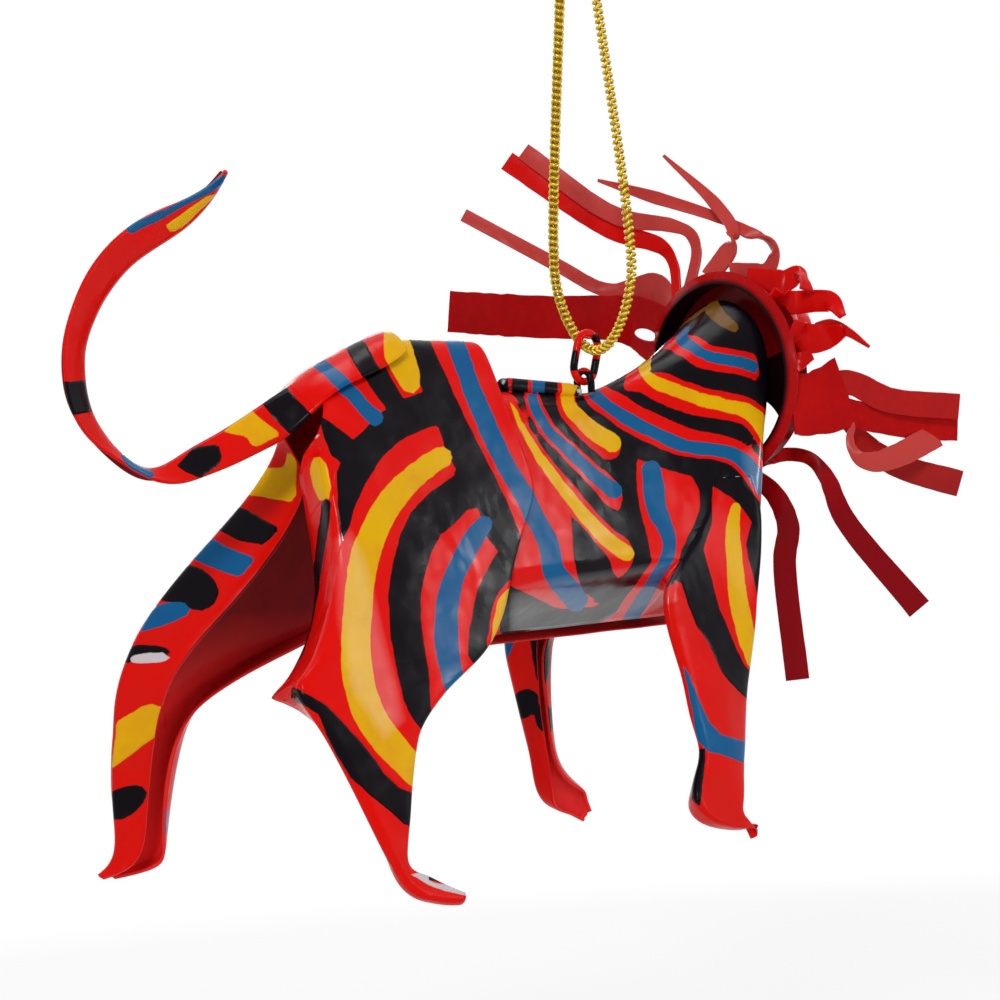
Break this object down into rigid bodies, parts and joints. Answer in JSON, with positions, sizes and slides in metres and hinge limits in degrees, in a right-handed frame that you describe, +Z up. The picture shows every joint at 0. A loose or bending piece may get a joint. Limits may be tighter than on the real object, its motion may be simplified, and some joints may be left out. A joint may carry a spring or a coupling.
{
  "type": "lion ornament",
  "caption": "Painted tin lion with a curled tail and a mane of cut strips, hanging by a wire ring from a loop of metallic cord.",
  "frame": {"origin": "inside of the cord loop's top, under the knot, where a hook would hold it", "axes": "+X towards the lion's nose, +Y towards its left side, +Z up"},
  "size_m": [0.1249, 0.0613, 0.1388],
  "materials": {
    "hind_body": "glossy enamel with painted stripes",
    "fore_body": "glossy enamel with painted stripes",
    "tail": "glossy enamel with painted bands",
    "mane": "glossy red enamel",
    "face": "glossy enamel with painted features",
    "back_eye": "glossy black enamel",
    "hanging_ring": "glossy red and black enamel",
    "hanging_cord": "knitted metallic thread",
    "cord_knot": "knitted metallic thread"
  },
  "bodies": {
    "cord": {"hanging_cord": "hanging_cord", "cord_knot": "cord_knot"},
    "ring": {"hanging_ring": "hanging_ring"},
    "lion": {"hind_body": "hind_body", "fore_body": "fore_body", "tail": "tail", "mane": "mane", "face": "face", "back_eye": "back_eye"}
  },
  "joints": [
    {"name": "ring_swing", "type": "hinge", "parent": "cord", "child": "ring", "pos_m": [0, 0.0016, -0.06705], "axis": [0, 1, 0], "range_deg": [-20, 20]},
    {"name": "lion_sway", "type": "hinge", "parent": "ring", "child": "lion", "pos_m": [-0.00145, 0.0016, -0.0715], "axis": [1, 0, 0], "range_deg": [-25, 25]}
  ]
}
